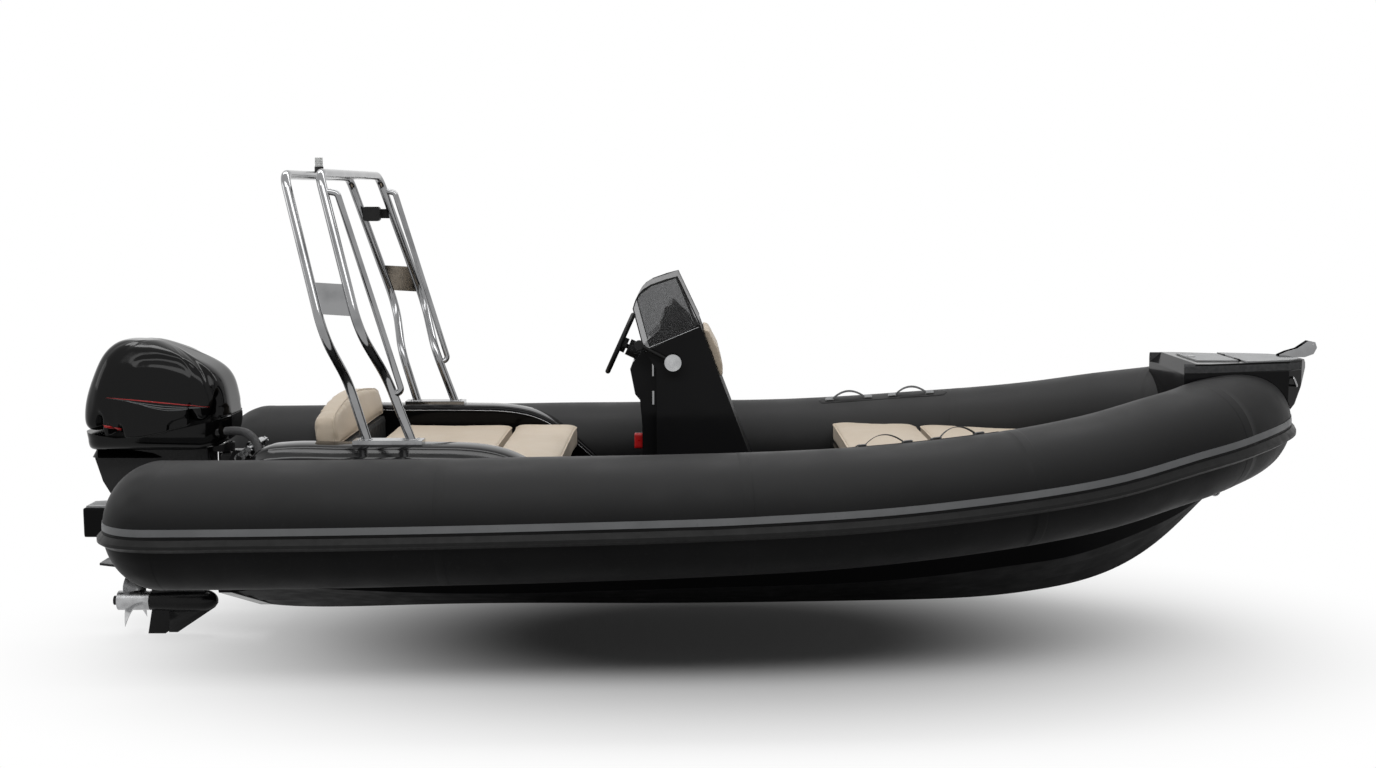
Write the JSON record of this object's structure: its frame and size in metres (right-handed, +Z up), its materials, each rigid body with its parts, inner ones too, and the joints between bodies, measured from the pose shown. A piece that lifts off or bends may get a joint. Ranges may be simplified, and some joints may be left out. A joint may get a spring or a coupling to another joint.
{
  "type": "rigid inflatable boat with outboard engine",
  "caption": "V-hulled rigid inflatable boat with steering console, raked roll bar, cushioned benches and a tilting, steering outboard engine with a turning propeller.",
  "frame": {"origin": "on the centreline, amidships, at the design waterline", "axes": "+X to the bow, +Y to port, +Z up"},
  "size_m": [6.2171, 2.5226, 2.432],
  "materials": {
    "gelcoat_black": "gloss black GRP gelcoat",
    "tube_fabric": "matte coated inflatable fabric",
    "strake_rubber": "matte",
    "stripe_grey": "satin",
    "upholstery_sand": "marine vinyl",
    "deck_pad_grey": "foam decking",
    "polished_steel": "polished stainless",
    "matte_black": "satin",
    "light_lens": "translucent white",
    "smoked_acrylic": "smoked acrylic",
    "chrome_hub": "satin",
    "signal_red": "gloss",
    "cowl_black": "gloss black",
    "engine_black": "semi-gloss black",
    "propeller_alloy": "cast alloy",
    "hose_rubber": "corrugated",
    "webbing_grey": "webbing"
  },
  "bodies": {
    "boat": {"backrest": "upholstery_sand", "backrest_brackets": "matte_black", "battery_switch": "signal_red", "bow_cleats": "polished_steel", "bow_cushion_aft": "upholstery_sand", "bow_cushion_fore": "upholstery_sand", "bow_eye": "polished_steel", "bow_roller_bracket": "polished_steel", "bow_step": "gelcoat_black", "clamp_bracket": "engine_black", "console": "gelcoat_black", "console_pad": "upholstery_sand", "deck": "gelcoat_black", "grab_rail_port": "polished_steel", "grab_rail_starboard": "polished_steel", "helm_boss": "matte_black", "horn": "matte_black", "hose_gland": "matte_black", "hull": "gelcoat_black", "mast_light_base": "matte_black", "mast_light_lens": "light_lens", "platform_pads": "deck_pad_grey", "rigging_hose": "hose_rubber", "rollbar_feet": "polished_steel", "rollbar_hoop_aft": "polished_steel", "rollbar_hoop_fore": "polished_steel", "rollbar_plates": "polished_steel", "rub_strake_port": "strake_rubber", "rub_strake_starboard": "strake_rubber", "side_deck_port": "gelcoat_black", "side_deck_starboard": "gelcoat_black", "step_pad": "deck_pad_grey", "stern_bench": "gelcoat_black", "stern_cushion_aft": "upholstery_sand", "stern_cushion_fore": "upholstery_sand", "strake_stripe_port": "stripe_grey", "strake_stripe_starboard": "stripe_grey", "sundeck": "gelcoat_black", "swim_platform_port": "gelcoat_black", "swim_platform_starboard": "gelcoat_black", "throttle_hub": "chrome_hub", "throttle_lever": "matte_black", "transom": "gelcoat_black", "tube_handles_port": "webbing_grey", "tube_handles_starboard": "webbing_grey", "tube_port": "tube_fabric", "tube_starboard": "tube_fabric", "windscreen": "smoked_acrylic"},
    "engine_tilt": {"swivel_bracket": "engine_black", "steering_cylinder": "chrome_hub"},
    "engine": {"engine_midsection": "engine_black", "gearcase": "engine_black", "lower_cowl": "cowl_black", "top_cowl": "cowl_black", "powerhead": "matte_black"},
    "propeller": {"propeller": "propeller_alloy"},
    "steering_wheel": {"steering_wheel": "matte_black"},
    "anchor_hatch": {"anchor_hatch": "gelcoat_black", "hatch_pad": "deck_pad_grey"},
    "bow_roller": {"bow_roller": "matte_black"}
  },
  "joints": [
    {"name": "engine_tilt", "type": "hinge", "parent": "boat", "child": "engine_tilt", "pos_m": [-2.362, 0, 0.462], "axis": [0, 1, 0], "range_deg": [0, 65], "deforming": ["rigging_hose"]},
    {"name": "engine_steer", "type": "hinge", "parent": "engine_tilt", "child": "engine", "pos_m": [-2.47, 0, 0.3], "axis": [0, 0, 1], "range_deg": [-30, 30]},
    {"name": "propeller_spin", "type": "hinge", "parent": "engine", "child": "propeller", "pos_m": [-2.95, 0, -0.305], "axis": [1, 0, 0], "continuous": true},
    {"name": "steering_wheel_turn", "type": "hinge", "parent": "boat", "child": "steering_wheel", "pos_m": [-0.461, 0, 1.025], "axis": [0.9107, 0, -0.4131], "range_deg": [-545, 545]},
    {"name": "anchor_hatch_hinge", "type": "hinge", "parent": "boat", "child": "anchor_hatch", "pos_m": [2.617, 0, 0.956], "axis": [0, 1, 0], "range_deg": [0, 100]},
    {"name": "bow_roller_spin", "type": "hinge", "parent": "boat", "child": "bow_roller", "pos_m": [3.016, 0, 0.984], "axis": [0, 1, 0], "continuous": true}
  ],
  "couplings": [
    {"joint": "steering_wheel_turn", "follows": "engine_steer", "ratio": 18}
  ]
}
